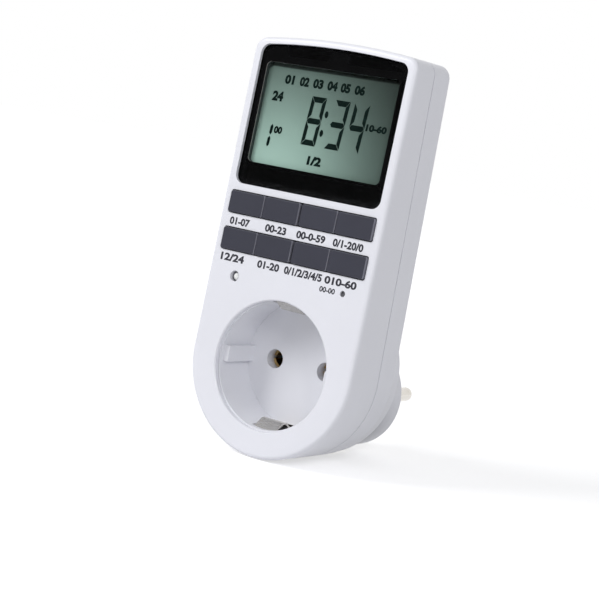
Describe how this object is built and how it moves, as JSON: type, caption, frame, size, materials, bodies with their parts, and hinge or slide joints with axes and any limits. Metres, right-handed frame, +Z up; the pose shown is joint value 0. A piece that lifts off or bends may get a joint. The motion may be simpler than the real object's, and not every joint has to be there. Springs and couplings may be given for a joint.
{
  "type": "programmable plug-in timer",
  "caption": "Flat wall-plug timer with a tilted face, display window, two rows of rubber keys, a recessed earthed socket in front and a round two-pin plug behind.",
  "frame": {"origin": "centre of the plug's end face, midway between the two pins", "axes": "+Y along the pins into the outlet, +X to the right for someone facing the display, +Z up"},
  "size_m": [0.0584, 0.0753, 0.1281],
  "materials": {
    "case_white": "satin",
    "plug_white": "satin",
    "socket_white": "satin",
    "window_clear": "polished",
    "bezel_black": "gloss",
    "display_glass": "polished",
    "display_reflector": "matte",
    "frame_plastic": "matte",
    "zebra_rubber": "matte",
    "key_rubber": "matte",
    "mat_rubber": "matte",
    "lamp_clear": "polished",
    "button_plastic": "satin",
    "switch_plastic": "satin",
    "board_laminate": "satin",
    "potting_black": "satin",
    "can_metal": "brushed",
    "relay_plastic": "satin",
    "film_plastic": "satin",
    "sleeve_plastic": "gloss",
    "varistor_coat": "gloss",
    "fuse_coat": "gloss",
    "resistor_coat": "gloss",
    "diode_plastic": "satin",
    "header_plastic": "satin",
    "pin_nickel": "polished",
    "contact_brass": "rolled",
    "earth_nickel": "nickel plated",
    "lead_brown": "satin",
    "lead_black": "satin",
    "lead_blue": "satin",
    "screw_steel": "zinc plated"
  },
  "bodies": {
    "case": {"backup_cell": "can_metal", "board_header": "header_plastic", "board_screws": "screw_steel", "case_screws": "screw_steel", "clock_crystal": "can_metal", "control_board": "board_laminate", "controller_chip": "potting_black", "display_bezel": "bezel_black", "dropper_resistor": "resistor_coat", "earth_link": "earth_nickel", "film_capacitor": "film_plastic", "front_shell": "case_white", "fuse": "fuse_coat", "keypad_mat": "mat_rubber", "lcd_frame": "frame_plastic", "lcd_front_glass": "display_glass", "lcd_rear_glass": "display_glass", "lcd_reflector": "display_reflector", "live_lead": "lead_brown", "live_pin": "pin_nickel", "live_receptacle": "contact_brass", "neutral_lead": "lead_blue", "neutral_link": "contact_brass", "neutral_pin": "pin_nickel", "neutral_receptacle": "contact_brass", "plug_body": "plug_white", "plug_earth_bracket": "earth_nickel", "power_board": "board_laminate", "power_board_screws": "screw_steel", "rear_shell": "case_white", "rectifier_diodes": "diode_plastic", "relay": "relay_plastic", "reset_switch": "switch_plastic", "smoothing_capacitor": "sleeve_plastic", "socket_earth_bracket": "earth_nickel", "socket_insert": "socket_white", "socket_screws": "screw_steel", "status_led": "lamp_clear", "switched_lead": "lead_black", "varistor": "varistor_coat", "window_lens": "window_clear", "zebra_strip": "zebra_rubber"},
    "key_top_1": {"key_top_1": "key_rubber"},
    "key_top_2": {"key_top_2": "key_rubber"},
    "key_top_3": {"key_top_3": "key_rubber"},
    "key_top_4": {"key_top_4": "key_rubber"},
    "key_low_1": {"key_low_1": "key_rubber"},
    "key_low_2": {"key_low_2": "key_rubber"},
    "key_low_3": {"key_low_3": "key_rubber"},
    "key_low_4": {"key_low_4": "key_rubber"},
    "reset_button": {"reset_button": "button_plastic"}
  },
  "joints": [
    {"name": "key_top_1_press", "type": "slide", "parent": "case", "child": "key_top_1", "axis": [0, 0.9985, -0.0556], "range_m": [0, 0.0007], "stiffness_N_per_m": 900, "springref_m": -0.0003},
    {"name": "key_top_2_press", "type": "slide", "parent": "case", "child": "key_top_2", "axis": [0, 0.9985, -0.0556], "range_m": [0, 0.0007], "stiffness_N_per_m": 900, "springref_m": -0.0003},
    {"name": "key_top_3_press", "type": "slide", "parent": "case", "child": "key_top_3", "axis": [0, 0.9985, -0.0556], "range_m": [0, 0.0007], "stiffness_N_per_m": 900, "springref_m": -0.0003},
    {"name": "key_top_4_press", "type": "slide", "parent": "case", "child": "key_top_4", "axis": [0, 0.9985, -0.0556], "range_m": [0, 0.0007], "stiffness_N_per_m": 900, "springref_m": -0.0003},
    {"name": "key_low_1_press", "type": "slide", "parent": "case", "child": "key_low_1", "axis": [0, 0.9985, -0.0556], "range_m": [0, 0.0007], "stiffness_N_per_m": 900, "springref_m": -0.0003},
    {"name": "key_low_2_press", "type": "slide", "parent": "case", "child": "key_low_2", "axis": [0, 0.9985, -0.0556], "range_m": [0, 0.0007], "stiffness_N_per_m": 900, "springref_m": -0.0003},
    {"name": "key_low_3_press", "type": "slide", "parent": "case", "child": "key_low_3", "axis": [0, 0.9985, -0.0556], "range_m": [0, 0.0007], "stiffness_N_per_m": 900, "springref_m": -0.0003},
    {"name": "key_low_4_press", "type": "slide", "parent": "case", "child": "key_low_4", "axis": [0, 0.9985, -0.0556], "range_m": [0, 0.0007], "stiffness_N_per_m": 900, "springref_m": -0.0003},
    {"name": "reset_button_press", "type": "slide", "parent": "case", "child": "reset_button", "axis": [0, 0.9985, -0.0556], "range_m": [0, 0.00035], "stiffness_N_per_m": 1500, "springref_m": -0.0003}
  ]
}
